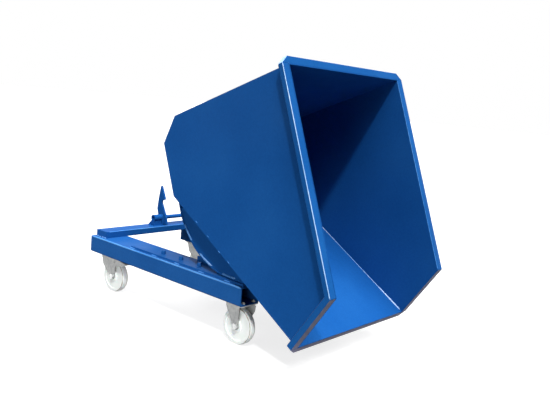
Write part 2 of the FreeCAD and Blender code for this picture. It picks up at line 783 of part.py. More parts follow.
# Fixed bracket: a plate and two like legs turned half round from each other.
def front_brackets():
    x = "wheelbase / 2"
    hole = (x, "wheel_radius", "axle_radius + running_fit")
    near = leg_points(x, FRONT_LEG_SHARES, FRONT_LEG_RIGHT_SHARES, FRONT_LEG_TOP_SHARES, "mount_z")
    far = [("wheelbase - (%s)" % point[0], point[1]) + flipped(point) for point in near]
    for word, side in SIDES:
        name = "front_bracket_" + word
        plate = mount_plate(name + "_plate", side, x)
        legs = []
        for index, (low, high) in enumerate(leg_spans(side)):
            legs.append(slab("%s_leg_%d" % (name, index), [near if index == 0 else far, hole], low, high))
        keep(fused(name, [plate] + legs), name)


def mount_plate(name, side, x):
    plate = box(name + "_blank", "%s - mount_length / 2" % x, "%d * castor_y - mount_width / 2" % side,
                "mount_z", "mount_length", "mount_width", "mount_thickness")
    return cut(name, plate, bolt_holes(name, side, x, "mount_z", "mount_thickness"))


# Swivel castor: the plate, race and kingpin stay on the side member, the fork turns below.
def rear_castors():
    for word, side in SIDES:
        at = vector("kingpin_x", "%d * castor_y" % side, "0")
        pin_hole = rod("kingpin_hole_" + word, "kingpin_radius + running_fit", "castor_height + overrun", at)
        plate = mount_plate("rear_plate_core_" + word, side, "kingpin_x")
        keep(cut("rear_plate_" + word, plate, [pin_hole]), "rear_plate_" + word)
        race = rod("race_core_" + word, "swivel_radius", "swivel_height - rest_gap",
                   at + vector("0", "0", "crown_top + rest_gap"))
        keep(cut("swivel_race_" + word, race, [pin_hole]), "swivel_race_" + word)
        pin = rod("pin_core_" + word, "kingpin_radius", "castor_height - crown_z + rest_gap",
                  at + vector("0", "0", "crown_z - rest_gap"))
        nut = hexagon("pin_nut_" + word, "kingpin_nut_radius", "kingpin_nut_height",
                      at + vector("0", "0", "crown_z - rest_gap - kingpin_nut_height"))
        keep(fused("kingpin_" + word, [pin, nut]), "kingpin_" + word)
        fork(word, side, pin_hole)


def fork(word, side, pin_hole):
    x = "-wheelbase / 2"
    wide = "fork_gap + 2 * leg_thickness"
    points = leg_points(x, [REAR_LEG_LEFT_SHARE], REAR_LEG_RIGHT_SHARES, REAR_LEG_TOP_SHARES, "crown_top")
    holes = [
        (x, "wheel_radius", "axle_radius + running_fit"),
        ("%s + %s" % (x, share(FORK_HOLE_SHARE[0], "wheel_radius")),
         "wheel_radius + " + share(FORK_HOLE_SHARE[1], "wheel_radius"), "fork_hole"),
    ]
    length = share(REAR_LEG_TOP_SHARES[1] - REAR_LEG_TOP_SHARES[0], "wheel_radius")
    crown = box("crown_" + word, "%s + %s" % (x, share(REAR_LEG_TOP_SHARES[0], "wheel_radius")),
                "%d * castor_y - (%s) / 2" % (side, wide), "crown_z", length, wide, "crown_thickness")
    legs = []
    for index, (low, high) in enumerate(leg_spans(side)):
        legs.append(slab("fork_leg_%s_%d" % (word, index), [points] + holes, low, high))
    name = "fork_" + word
    keep(cut(name, fused(name + "_core", [crown] + legs), [pin_hole]), name)


# Dished nylon wheels with a crowned tread.
def wheels():
    bore = "sleeve_radius + running_fit"
    half = "tread_width / 2"
    hub = "fork_gap / 2 - rest_gap"
    web = "wheel_web / 2"
    rim = "wheel_radius - wheel_rim"
    shoulder = "wheel_radius - tread_drop"
    upper = [(shoulder, half), (rim, half), (rim, web), ("hub_radius", web), ("hub_radius", hub), (bore, hub)]
    lower = [(x, "-(%s)" % y) for x, y in reversed(upper)]
    crown = [
        (shoulder, "-(%s)" % half), ("wheel_radius", "-(%s) / 2" % half), ("wheel_radius", "(%s) / 2" % half),
    ]
    points = lower[:-1] + crown + upper
    for end, x in (("front", "wheelbase / 2"), ("rear", "-wheelbase / 2")):
        for word, side in SIDES:
            name = "wheel_%s_%s" % (end, word)
            wheel = turned(name, points)
            wheel.Placement.Base = vector(x, "%d * castor_y" % side, "wheel_radius")
            keep(wheel, name)


# The fixed castors' axles share nodes; each swivel fork carries its own.
def axles():
    pairs = [axle("front_" + word, side, "wheelbase / 2") for word, side in SIDES]
    for index, kind in enumerate(("bolts", "nuts", "sleeves")):
        keep(grouped("axle_%s_front" % kind, [pair[index] for pair in pairs]), "axle_%s_front" % kind)
    for word, side in SIDES:
        pieces = axle("rear_" + word, side, "-wheelbase / 2")
        for index, kind in enumerate(("bolt", "nut", "sleeve")):
            keep(pieces[index], "axle_%s_rear_%s" % (kind, word))


# Axle bolt with its head on the outer side, a nut on the inner side and a sleeve between the legs.
def axle(word, side, x):
    half = "fork_gap / 2 + leg_thickness"
    turn = ALONG_Y * -side
    at = vector(x, "%d * (castor_y + %s)" % (side, half), "wheel_radius")
    head = hexagon("axle_head_" + word, "axle_head_radius", "axle_head_height", at, X_AXIS, -turn)
    reach = "2 * (%s) + axle_head_height + bolt_spare" % half
    shank = rod("axle_shank_" + word, "axle_radius", reach, at, X_AXIS, turn)
    inner = vector(x, "%d * (castor_y - (%s))" % (side, half), "wheel_radius")
    nut = hexagon("axle_blank_" + word, "axle_head_radius", "axle_head_height", inner, X_AXIS, turn)
    hole = rod("axle_hole_" + word, "axle_radius + running_fit", "axle_head_height + overrun",
               inner, X_AXIS, turn)
    middle = "%d * castor_y" % side
    sleeve = slab("axle_sleeve_" + word, [
        (x, "wheel_radius", "sleeve_radius"), (x, "wheel_radius", "axle_radius + running_fit"),
    ], "%s - fork_gap / 2" % middle, "%s + fork_gap / 2" % middle)
    return fused("axle_bolt_" + word, [head, shank]), cut("axle_nut_" + word, nut, [hole]), sleeve


# Bolts up through the castor plates, nuts inside the side members.
def castor_fasteners():
    bolts = []
    nuts = []
    for side in (1, -1):
        for x in ("wheelbase / 2", "kingpin_x"):
            for bolt_x, bolt_y in mount_bolts(side, x):
                word = str(len(bolts))
                low = vector(bolt_x, bolt_y, "mount_z - bolt_head_height")
                head = hexagon("bolt_head_" + word, "bolt_head_radius", "bolt_head_height", low)
                shank = rod("bolt_shank_" + word, "bolt_radius",
                            "2 * bolt_head_height + mount_thickness + member_wall + bolt_spare", low)
                bolts.append(fused("bolt_" + word, [head, shank]))
                seat = vector(bolt_x, bolt_y, "castor_height + member_wall")
                blank = hexagon("nut_blank_" + word, "bolt_head_radius", "bolt_head_height", seat)
                hole = rod("nut_hole_" + word, "bolt_radius + running_fit",
                           "bolt_head_height + overrun", seat)
                nuts.append(cut("nut_" + word, blank, [hole]))
    keep(grouped("castor_bolts", bolts), "castor_bolts")
    keep(grouped("castor_nuts", nuts), "castor_nuts")


def check_and_write():
    doc.recompute()
    for item in doc.Objects:
        if "Invalid" in item.State or "Error" in item.State:
            raise RuntimeError("failed: " + item.Name)
    os.makedirs("parts", exist_ok=True)
    for item in nodes:
        if item.Shape.isNull() or not item.Shape.isValid():
            raise RuntimeError("bad shape: " + item.Label)
    for item in nodes:
        item.Shape.exportStep("parts/%s.step" % item.Label)
        print(item.Label, len(item.Shape.Solids), round(item.Shape.Volume))


fill_sheet()
side_plates()
panels()
rims()
rocker_flanges()
rocker_webs()
keeper()
side_members()
rails()
pegs()
cross_members()
latch_lugs()
latch()
bearing_foot()
return_spring()
front_brackets()
rear_castors()
wheels()
axles()
castor_fasteners()
check_and_write()
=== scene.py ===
import json
import math

import bpy
from mathutils import Matrix, Vector


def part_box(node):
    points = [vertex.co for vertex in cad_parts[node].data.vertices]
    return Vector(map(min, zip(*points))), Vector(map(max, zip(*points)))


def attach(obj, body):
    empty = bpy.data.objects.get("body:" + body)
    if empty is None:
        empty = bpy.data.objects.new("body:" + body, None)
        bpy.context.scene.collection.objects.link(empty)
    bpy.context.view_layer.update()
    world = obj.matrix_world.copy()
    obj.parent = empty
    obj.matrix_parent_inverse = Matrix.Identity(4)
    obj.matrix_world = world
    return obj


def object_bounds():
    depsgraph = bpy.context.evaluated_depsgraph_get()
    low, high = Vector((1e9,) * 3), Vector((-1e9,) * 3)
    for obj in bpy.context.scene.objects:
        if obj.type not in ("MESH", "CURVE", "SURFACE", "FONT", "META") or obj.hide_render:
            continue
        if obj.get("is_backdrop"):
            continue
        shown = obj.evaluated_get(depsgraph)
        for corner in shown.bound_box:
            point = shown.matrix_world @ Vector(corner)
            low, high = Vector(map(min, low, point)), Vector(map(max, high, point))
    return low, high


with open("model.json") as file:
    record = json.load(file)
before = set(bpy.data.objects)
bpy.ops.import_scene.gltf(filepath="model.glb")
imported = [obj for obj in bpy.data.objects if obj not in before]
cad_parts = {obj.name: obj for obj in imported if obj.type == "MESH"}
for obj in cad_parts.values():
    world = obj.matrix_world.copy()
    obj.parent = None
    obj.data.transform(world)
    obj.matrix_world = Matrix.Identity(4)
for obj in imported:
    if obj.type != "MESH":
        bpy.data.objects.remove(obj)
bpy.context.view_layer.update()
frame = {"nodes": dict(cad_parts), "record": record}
nodes = frame["nodes"]
slots = {entry["node"]: entry["material_slot"] for entry in frame["record"]["subparts"]}
scene = bpy.context.scene

MM = 0.001
SIDES = (("left", 1), ("right", -1))

# Places on the tipped skip, in metres, repeated from the part's sizes.
TIP = math.radians(68.4)
CHUTE_ANGLE = math.radians(37.5)
SHEET = 0.004
SKIP_HALF = 0.4735
SKIP_CORNER = Vector((0.08454, 0.0, 0.71926))
ROCKER_CENTRE = Vector((0.4995, 0.0, 0.8143))
ROCKER_INSIDE = 0.459
WEB_FACE = 0.4035
RIM_TOP = Vector((0.8206, 0.0, 1.4571))
RIM_BEND = Vector((1.2202, 0.0, 0.448))
RIM_FACING = Vector((0.93, 0.0, 0.368))
RIM_OUTER = 0.5195
CREST_TOP = Vector((0.8066, 0.0, 1.4924))
CREST_BACK = Vector((-0.026, 0.0, -0.0104))


def skip_point(x, y, z):
    """A point of the upright skip, measured from the bottom's front corner, carried into the tipped pose."""
    turned = Vector((x * math.cos(TIP) + z * math.sin(TIP), y, z * math.cos(TIP) - x * math.sin(TIP)))
    return SKIP_CORNER + turned


def rocker_point(angle, y):
    """A point inside the rocker's flange, in degrees back from the rail; below zero it lies along the flat."""
    turn = math.radians(angle)
    if angle >= 0:
        offset = Vector((-ROCKER_INSIDE * math.sin(turn), y, -ROCKER_INSIDE * math.cos(turn)))
    else:
        offset = Vector((-ROCKER_INSIDE * turn, y, -ROCKER_INSIDE))
    return ROCKER_CENTRE + offset


# Shader nodes

def new_material(name):
    mat = bpy.data.materials.new(name)
    mat.use_nodes = True
    return mat, mat.node_tree, mat.node_tree.nodes["Principled BSDF"]


def coordinates(tree, kind):
    return tree.nodes.new("ShaderNodeTexCoord").outputs[kind]


def split(tree, vector):
    node = tree.nodes.new("ShaderNodeSeparateXYZ")
    tree.links.new(vector, node.inputs["Vector"])
    return node.outputs


def noise(tree, coords, scale, detail=3.0, rough=0.55):
    node = tree.nodes.new("ShaderNodeTexNoise")
    node.inputs["Scale"].default_value = scale
    node.inputs["Detail"].default_value = detail
    node.inputs["Roughness"].default_value = rough
    tree.links.new(coords, node.inputs["Vector"])
    return node.outputs["Fac"]


def ramp(tree, fac, stops):
    node = tree.nodes.new("ShaderNodeValToRGB")
    elements = node.color_ramp.elements
    while len(elements) < len(stops):
        elements.new(0.5)
    for element, (position, colour) in zip(elements, stops):
        element.position = position
        element.color = (*colour, 1.0)
    tree.links.new(fac, node.inputs["Fac"])
    return node.outputs["Color"]


def grey(tone):
    return (tone, tone, tone)


def remap(tree, fac, low, high, start=0.3, end=0.7):
    node = tree.nodes.new("ShaderNodeMapRange")
    node.inputs["From Min"].default_value = start
    node.inputs["From Max"].default_value = end
    node.inputs["To Min"].default_value = low
    node.inputs["To Max"].default_value = high
    tree.links.new(fac, node.inputs["Value"])
    return node.outputs["Result"]


def mix(tree, fac, a, b, blend="MIX"):
    node = tree.nodes.new("ShaderNodeMix")
    node.data_type = "RGBA"
    node.blend_type = blend
    for source, socket in ((fac, node.inputs[0]), (a, node.inputs[6]), (b, node.inputs[7])):
        if isinstance(source, tuple):
            socket.default_value = (*source, 1.0)
        elif isinstance(source, float):
            socket.default_value = source
        else:
            tree.links.new(source, socket)
    return node.outputs[2]


def calc(tree, op, *sources):
    node = tree.nodes.new("ShaderNodeMath")
    node.operation = op
    for socket, source in zip(node.inputs, sources):
        if isinstance(source, (int, float)):
            socket.default_value = source
        else:
            tree.links.new(source, socket)
    return node.outputs[0]


def bump(tree, shader, height, strength, distance):
    node = tree.nodes.new("ShaderNodeBump")
    node.inputs["Strength"].default_value = strength
    node.inputs["Distance"].default_value = distance
    tree.links.new(height, node.inputs["Height"])
    tree.links.new(node.outputs["Normal"], shader.inputs["Normal"])


# Materials

PAINT_GLOSS = 0.015
DENT_SHARE = 4.0
SPANGLE_SCALE = 55.0
SPANGLE_SHARE = 0.45
GRAIN_STRENGTH = 0.08


def blue_paint(name, deep, mid, pale, grime, under=None):
    """Powder coat: clouded blue, orange peel, a few scuffs; under, if given, is a painted reflection of the
    floor on faces that look down and forward, scuffed paler in places.
    """
    mat, tree, shader = new_material(name)
    coords = coordinates(tree, "Object")
    cloud = noise(tree, coords, scale=2.4, detail=4.0)
    colour = ramp(tree, cloud, [(0.32, deep), (0.5, mid), (0.72, pale)])
    grain = noise(tree, coords, scale=90.0, detail=2.0)
    speck = ramp(tree, grain, [(0.3, grey(0.94)), (0.7, grey(1.05))])
    scratches = noise(tree, coords, scale=14.0, detail=8.0, rough=0.75)
    scuff = remap(tree, scratches, low=0.0, high=grime, start=0.6, end=0.82)
    finish = mix(tree, scuff, mix(tree, 1.0, colour, speck, "MULTIPLY"), pale)
    if under:
        facing = split(tree, coordinates(tree, "Normal"))
        lowered = remap(tree, facing["Z"], low=1.0, high=0.0, start=-0.5, end=-0.3)
        forward = remap(tree, facing["X"], low=0.0, high=1.0, start=0.5, end=0.7)
        # Painted reflection of the floor: the under tone, with scuffs, on faces that look down and forward.
        floor_reflection_scuffed = mix(tree, scuff, under, pale)
        finish = mix(tree, calc(tree, "MULTIPLY", lowered, forward), finish, floor_reflection_scuffed)
    tree.links.new(finish, shader.inputs["Base Color"])
    sheen = remap(tree, noise(tree, coords, scale=7.0, detail=5.0), low=0.3, high=0.42)
    tree.links.new(sheen, shader.inputs["Roughness"])
    shader.inputs["Specular IOR Level"].default_value = PAINT_GLOSS
    peel = noise(tree, coords, scale=420.0, detail=2.0)
    relief = calc(tree, "ADD", peel, calc(tree, "MULTIPLY", cloud, DENT_SHARE))
    bump(tree, shader, relief, GRAIN_STRENGTH, distance=0.0005)
    return mat


def zinc_plate(name, dull, mid, bright, metal):
    """Zinc-plated steel: mottled grey metal with a fine grain."""
    mat, tree, shader = new_material(name)
    coords = coordinates(tree, "Object")
    spangle = tree.nodes.new("ShaderNodeTexVoronoi")
    spangle.inputs["Scale"].default_value = SPANGLE_SCALE
    tree.links.new(coords, spangle.inputs["Vector"])
    flakes = calc(tree, "MULTIPLY", spangle.outputs["Distance"], SPANGLE_SHARE)
    patch = calc(tree, "ADD", flakes, noise(tree, coords, scale=18.0, detail=5.0))
    colour = ramp(tree, patch, [(0.35, dull), (0.6, mid), (0.9, bright)])
    tree.links.new(colour, shader.inputs["Base Color"])
    shader.inputs["Metallic"].default_value = metal
    tree.links.new(remap(tree, patch, low=0.3, high=0.5), shader.inputs["Roughness"])
    bump(tree, shader, noise(tree, coords, scale=240.0), GRAIN_STRENGTH, distance=0.0004)
    return mat


NYLON_DULL = (0.88, 0.92, 0.9)
NYLON_CLEAN = (0.93, 0.96, 0.94)
FLOOR_DIRT = (0.2, 0.13, 0.065)
# Dirt lies this far from the axle, and round this distance from the wheel's middle plane.
DIRT_RADII = (0.0935, 0.0955)
DIRT_LINE = 0.0185
DIRT_FADE = (0.0012, 0.0032)


def nylon(name, centre):
    """White cast nylon, with brown floor dirt along both shoulders of the tread of the wheel at this centre."""
    mat, tree, shader = new_material(name)
    coords = coordinates(tree, "Object")
    place = split(tree, coords)
    across = calc(tree, "SUBTRACT", place["X"], centre[0])
    upward = calc(tree, "SUBTRACT", place["Z"], centre[2])
    squares = calc(tree, "ADD", calc(tree, "POWER", across, 2.0), calc(tree, "POWER", upward, 2.0))
    rim = remap(tree, calc(tree, "SQRT", squares), 0.0, 1.0, *DIRT_RADII)
    sideways = calc(tree, "ABSOLUTE", calc(tree, "SUBTRACT", place["Y"], centre[1]))
    line = calc(tree, "ABSOLUTE", calc(tree, "SUBTRACT", sideways, DIRT_LINE))
    shoulder = remap(tree, line, 1.0, 0.0, *DIRT_FADE)
    cloud = noise(tree, coords, scale=22.0, detail=5.0)
    clean = ramp(tree, cloud, [(0.35, NYLON_DULL), (0.65, NYLON_CLEAN)])
    blots = noise(tree, coords, scale=45.0, detail=6.0, rough=0.7)
    patchy = remap(tree, blots, low=0.35, high=0.95, start=0.3, end=0.6)
    dirt = calc(tree, "MULTIPLY", calc(tree, "MULTIPLY", rim, shoulder), patchy)
    tree.links.new(mix(tree, dirt, clean, FLOOR_DIRT), shader.inputs["Base Color"])
    tree.links.new(remap(tree, cloud, low=0.34, high=0.5), shader.inputs["Roughness"])
    shader.inputs["Subsurface Weight"].default_value = 0.08
    bump(tree, shader, noise(tree, coords, scale=160.0, detail=4.0), GRAIN_STRENGTH, distance=0.0003)
    return mat


def dark_steel(name):
    """Oiled spring wire."""
    mat, tree, shader = new_material(name)
    cloud = noise(tree, coordinates(tree, "Object"), scale=130.0, detail=4.0)
    colour = ramp(tree, cloud, [(0.3, (0.05, 0.05, 0.055)), (0.7, (0.16, 0.16, 0.17))])
    tree.links.new(colour, shader.inputs["Base Color"])
    shader.inputs["Metallic"].default_value = 0.9
    tree.links.new(remap(tree, cloud, low=0.3, high=0.5), shader.inputs["Roughness"])
    return mat


# Each paint's deep, middle and pale tone, how much it is scuffed, and any painted reflection of the floor for
# its faces that look down and forward.
# Grey-violet painted reflection of the floor, given to the rim's down-and-forward faces.
LIP_FLOOR_REFLECTION = (0.19, 0.19, 0.31)
paint = blue_paint(
    "blue_powder_coat", (0.0064, 0.071, 0.268), (0.0078, 0.078, 0.288), (0.01, 0.088, 0.308), 0.12)
# A lighter copy of the same blue for the side members, rails and guides: painted light, standing in for the
# brighter light the base gets.
lit_base_paint = blue_paint(
    "blue_base_lit", (0.0105, 0.084, 0.295), (0.0125, 0.092, 0.318), (0.0155, 0.103, 0.34), 0.2)
rim_paint = blue_paint(
    "blue_rim", (0.0072, 0.079, 0.278), (0.009, 0.087, 0.298), (0.012, 0.097, 0.318), 0.2, LIP_FLOOR_REFLECTION)
# Painted highlights: the paler blues below go on beads, folds, seams and chamfer patches to stand in for the
# light they catch; the coat under them is the same blue.
weld_highlight_paint = blue_paint("blue_weld_highlight", (0.03, 0.18, 0.5), (0.1, 0.3, 0.66), (0.36, 0.55, 0.86), 0.7)
edge_highlight_paint = blue_paint("blue_fold_highlight", (0.04, 0.19, 0.52), (0.07, 0.25, 0.62), (0.12, 0.34, 0.72), 0.5)
fold_highlight_paint = blue_paint("pale_fold_highlight", (0.3, 0.52, 0.84), (0.42, 0.62, 0.9), (0.58, 0.74, 0.95), 0.5)
seam_highlight_paint = blue_paint("pale_seam_highlight", (0.14, 0.36, 0.74), (0.4, 0.58, 0.86), (0.8, 0.88, 0.97), 0.8)
# Two copies of one zinc plating that differ only in how lit they look: the darker one, for the castors and
# their nuts under the base, is painted shade; the lighter one, for the axle bolts and nuts, is a painted
# highlight.
zinc = zinc_plate("zinc_plate", (0.2, 0.205, 0.205), (0.27, 0.275, 0.275), (0.35, 0.355, 0.35), 0.75)
lit_zinc = zinc_plate("lit_zinc", (0.42, 0.43, 0.43), (0.56, 0.57, 0.57), (0.7, 0.71, 0.7), 0.85)
spring_steel = dark_steel("spring_wire")
BY_SLOT = {"blue_paint": paint, "zinc": zinc, "spring_steel": spring_steel}
BY_PREFIX = {
    ("axle_bolt", "axle_nut"): lit_zinc,
    ("rim_",): rim_paint,
    ("side_member_", "rail_", "guide_"): lit_base_paint,
}


def set_material(obj, mat):
    obj.data.materials.clear()
    obj.data.materials.append(mat)


def node_material(name):
    if slots[name] == "white_nylon":
        low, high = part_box(name)
        return nylon("nylon_" + name, [(a + b) / 2 for a, b in zip(low, high)])
    for prefixes, mat in BY_PREFIX.items():
        if name.startswith(prefixes):
            return mat
    return BY_SLOT[slots[name]]


for name, obj in nodes.items():
    set_material(obj, node_material(name))


# Folded and cut edges are rounded, by these radii in millimetres, and catch the light.
ROUNDED = {
    "rim_left": 4.5, "rim_right": 4.5, "rim_back": 4.5, "rim_lip": 3.0, "cross_beam": 4.0, "beam_caps": 2.0,
    "bearing_foot": 1.5, "latch_lugs": 1.5, "rail_left": 1.5, "rail_right": 1.5,
    "guide_left": 1.2, "guide_right": 1.2, "front_tie": 3.0, "rear_plate_left": 1.0, "rear_plate_right": 1.0,
}
MERGE_REACH = 0.00002
EDGE_SEGMENTS = 3
EDGE_ANGLE = math.radians(32)
for name, width in ROUNDED.items():
    joined = nodes[name].modifiers.new("join", "WELD")
    joined.merge_threshold = MERGE_REACH
    edge = nodes[name].modifiers.new("edge", "BEVEL")
    edge.width = width * MM
    edge.segments = EDGE_SEGMENTS
    edge.limit_method = "ANGLE"
    edge.angle_limit = EDGE_ANGLE
    edge.use_clamp_overlap = True


# Weld beads

BEAD_SIDES = 8
LEAST_RINGS = 8
RINGS_PER_RIPPLE = 4
WELD_PITCH = 0.0065
RIPPLE_SHARE = 0.2
DRIFT_SHARE, DRIFT_RATE, DRIFT_SHIFT = 0.12, 173.0, 9000
END_SHARE, END_TAPER = 0.35, 2.5


def link(name, data):
    obj = bpy.data.objects.new(name, data)
    scene.collection.objects.link(obj)
    return obj


def add_detail(name, body, mesh, mat):
    obj = link(name, mesh)
    set_material(obj, mat)
    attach(obj, body)


def route_spot(route, along):
    """The point at a distance along a route of straight stretches, and the heading there."""
    for start, finish in zip(route, route[1:]):
        length = (finish - start).length
        if along <= length or finish is route[-1]:
            break
        along -= length
    heading = (finish - start).normalized()
    return start + heading * along, heading


def bead(name, body, route, radius, mat, pitch=WELD_PITCH, wave=1.0):
    """A rippled bead along a route; wave sets how strong its ripple is."""
    route = [Vector(point) for point in route]
    total = sum((b - a).length for a, b in zip(route, route[1:]))
    count = max(int(total / (pitch / RINGS_PER_RIPPLE)), LEAST_RINGS)
    turns = [2 * math.pi * k / BEAD_SIDES for k in range(BEAD_SIDES)]
    verts = []
    for step in range(count + 1):
        along = total * step / count
        point, heading = route_spot(route, along)
        ripple = RIPPLE_SHARE * math.sin(2 * math.pi * along / pitch)
        drift = DRIFT_SHARE * math.sin(along * DRIFT_RATE + radius * DRIFT_SHIFT)
        taper = min(1.0, END_SHARE + min(along, total - along) / (radius * END_TAPER))
        size = radius * (1 + wave * (ripple + drift)) * taper
        side = heading.orthogonal().normalized()
        up = heading.cross(side)
        verts += [point + (side * math.cos(turn) + up * math.sin(turn)) * size for turn in turns]
    faces = []
    for ring in range(0, count * BEAD_SIDES, BEAD_SIDES):
        for k in range(BEAD_SIDES):
            after = (k + 1) % BEAD_SIDES
            faces.append((ring + k, ring + after, ring + BEAD_SIDES + after, ring + BEAD_SIDES + k))
    faces.append(tuple(reversed(range(BEAD_SIDES))))
    faces.append(tuple(count * BEAD_SIDES + k for k in range(BEAD_SIDES)))
    mesh = bpy.data.meshes.new(name)
    mesh.from_pydata(verts, [], faces)
    for face in mesh.polygons:
        face.use_smooth = True
    add_detail(name, body, mesh, mat)


SEAM_HEIGHT = 0.3335
RAIL_WELDS = (-0.318, -0.115, 0.088, 0.29, 0.49)
RAIL_WELD_HALF = 0.022
RAIL_WELD_Y = 0.4205
RAIL_WELD_RADIUS = 0.0034
ROCKER_WELDS = ((57, 44), (33, 19), (8, -4))
ROCKER_WELD_STEPS = 6
ROCKER_WELD_RADIUS = 0.0048
BEAM_WELD_COUNT = 4
BEAM_WELD_START = -0.698
BEAM_WELD_PITCH = 0.026
BEAM_WELD_LENGTH = 0.018
BEAM_WELD_Y = 0.4125
BEAM_WELD_RADIUS = 0.0038
PLATE_TACKS = ((0.282, 0.613), (0.376, 0.555), (0.467, 0.492), (0.54, 0.453))
TACK_RUN = Vector((0.84, 0, -0.543))
TACK_HALF = 0.008
TACK_RADIUS = 0.0018

# The rail, rocker, beam and plate beads are given lighter blues, painted highlights for the light the beads
# catch.
for word, side in SIDES:
    for index, x in enumerate(RAIL_WELDS):
        route = [(end, side * RAIL_WELD_Y, SEAM_HEIGHT) for end in (x - RAIL_WELD_HALF, x + RAIL_WELD_HALF)]
        bead("rail_weld_%s_%d" % (word, index), "base", route, RAIL_WELD_RADIUS, edge_highlight_paint)
    for index, (first, last) in enumerate(ROCKER_WELDS):
        angles = [first + (last - first) * k / ROCKER_WELD_STEPS for k in range(ROCKER_WELD_STEPS + 1)]
        route = [rocker_point(angle, side * WEB_FACE) for angle in angles]
        bead("rocker_weld_%s_%d" % (word, index), "skip", route, ROCKER_WELD_RADIUS, weld_highlight_paint)
    for index in range(BEAM_WELD_COUNT):
        start = BEAM_WELD_START + BEAM_WELD_PITCH * index
        route = [(x, side * BEAM_WELD_Y, SEAM_HEIGHT) for x in (start, start + BEAM_WELD_LENGTH)]
        bead("beam_weld_%s_%d" % (word, index), "base", route, BEAM_WELD_RADIUS, weld_highlight_paint)
    for index, (x, z) in enumerate(PLATE_TACKS):
        middle = Vector((x, side * SKIP_HALF, z))
        route = [middle + TACK_RUN * step for step in (-TACK_HALF, TACK_HALF)]
        bead("plate_tack_%s_%d" % (word, index), "skip", route, TACK_RADIUS, edge_highlight_paint)

# The chute's seams run thin from the bottom and thick near the lip, in a near-white blue that is a painted
# highlight; each row is start, end, radius and name.
CHUTE_WELDS = ((0.06, 0.9, 0.0018, "thin"), (0.9, 1.085, 0.0038, "thick"))
SEAM_CLEAR = 0.0006
SEAM_INSET = SHEET + SEAM_CLEAR
run = Vector((math.cos(CHUTE_ANGLE), 0, math.sin(CHUTE_ANGLE)))
rise = Vector((-math.sin(CHUTE_ANGLE), 0, math.cos(CHUTE_ANGLE)))
for word, side in SIDES:
    for first, last, radius, tag in CHUTE_WELDS:
        spots = [run * along + rise * SEAM_INSET for along in (first, last)]
        route = [skip_point(spot.x, side * (SKIP_HALF - SEAM_INSET), spot.z) for spot in spots]
        bead("chute_weld_%s_%s" % (word, tag), "skip", route, radius, seam_highlight_paint)


# Painted highlights along the rounded folds of the rim, the side members and the beam: long beads in pale blue
# with a faint ripple.
FOLD_INSET = 0.0015
RIM_FOLD_SINK = 0.0012
RIM_FOLD_PITCH, RIM_FOLD_WAVE = 0.05, 0.3
BASE_FOLD_PITCH, BASE_FOLD_WAVE = 0.08, 0.2
MEMBER_FOLD_SINK = 0.0042
MEMBER_FOLD_TRIM = 0.004
MEMBER_FOLD_RADIUS = 0.0052
BEAM_FOLD_SINK = 0.0022
BEAM_FOLD_TRIM = 0.002
BEAM_FOLD_RADIUS = 0.0028
RIM_FOLDS = (
    ("outer_fold", -RIM_OUTER + FOLD_INSET, 0.0019, fold_highlight_paint),
    ("inner_fold", SKIP_HALF - SHEET + FOLD_INSET, 0.0018, edge_highlight_paint),
)
for name, y, radius, mat in RIM_FOLDS:
    route = [point - RIM_FACING * RIM_FOLD_SINK + Vector((0, y, 0)) for point in (RIM_TOP, RIM_BEND)]
    bead(name, "skip", route, radius, mat, RIM_FOLD_PITCH, RIM_FOLD_WAVE)
low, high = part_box("side_member_left")
for word, side in SIDES:
    y = side * (high[1] - MEMBER_FOLD_SINK)
    z = high[2] - MEMBER_FOLD_SINK
    route = [(x, y, z) for x in (low[0] + MEMBER_FOLD_TRIM, high[0] - MEMBER_FOLD_TRIM)]
    bead("member_fold_highlight_" + word, "base", route, MEMBER_FOLD_RADIUS, edge_highlight_paint, BASE_FOLD_PITCH, BASE_FOLD_WAVE)
low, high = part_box("cross_beam")
x, z = high[0] - BEAM_FOLD_SINK, high[2] - BEAM_FOLD_SINK
route = [(x, y, z) for y in (low[1] + BEAM_FOLD_TRIM, high[1] - BEAM_FOLD_TRIM)]
bead("beam_fold_highlight", "base", route, BEAM_FOLD_RADIUS, edge_highlight_paint, BASE_FOLD_PITCH, BASE_FOLD_WAVE)


PATCH_SHARE, PATCH_CROWN_SHARE = 0.97, 0.9
PATCH_LIFT, PATCH_CROWN_LIFT = 0.0002, 0.0008
PATCH_FACING = Vector((-0.286, 0.636, 0.716))


def corner_patch(name, side):
    """A painted highlight on the face of the chamfer between the side rim and the crest, a hair proud of it."""
    front = [RIM_TOP + Vector((0, side * RIM_OUTER, 0)), CREST_TOP + Vector((0, side * SKIP_HALF, 0))]
    outward = PATCH_FACING * Vector((1, side, 1))
    ring = [front[0], front[1], front[1] + CREST_BACK, front[0] + CREST_BACK]
    middle = sum(ring, Vector()) / len(ring)
    base = [middle + (point - middle) * PATCH_SHARE for point in ring]
    verts = [point + outward * PATCH_LIFT for point in base]
    verts += [middle + (point - middle) * PATCH_CROWN_SHARE + outward * PATCH_CROWN_LIFT for point in base]
    faces = [(4, 5, 6, 7), (0, 1, 5, 4), (1, 2, 6, 5), (2, 3, 7, 6), (3, 0, 4, 7), (3, 2, 1, 0)]
    mesh = bpy.data.meshes.new(name)
    mesh.from_pydata(verts, [], faces if side > 0 else [tuple(reversed(face)) for face in faces])
    add_detail(name, "skip", mesh, fold_highlight_paint)


for word, side in SIDES:
    corner_patch("crest_corner_highlight_" + word, side)


# Floor and world

def white_to_eye(tree):
    """One where the camera, a mirror-like surface or glass looks, and nothing for light on the object."""
    rays = tree.nodes.new("ShaderNodeLightPath").outputs
    gloss = calc(tree, "MAXIMUM", rays["Is Glossy Ray"], rays["Is Transmission Ray"])
    return calc(tree, "MAXIMUM", rays["Is Camera Ray"], gloss)


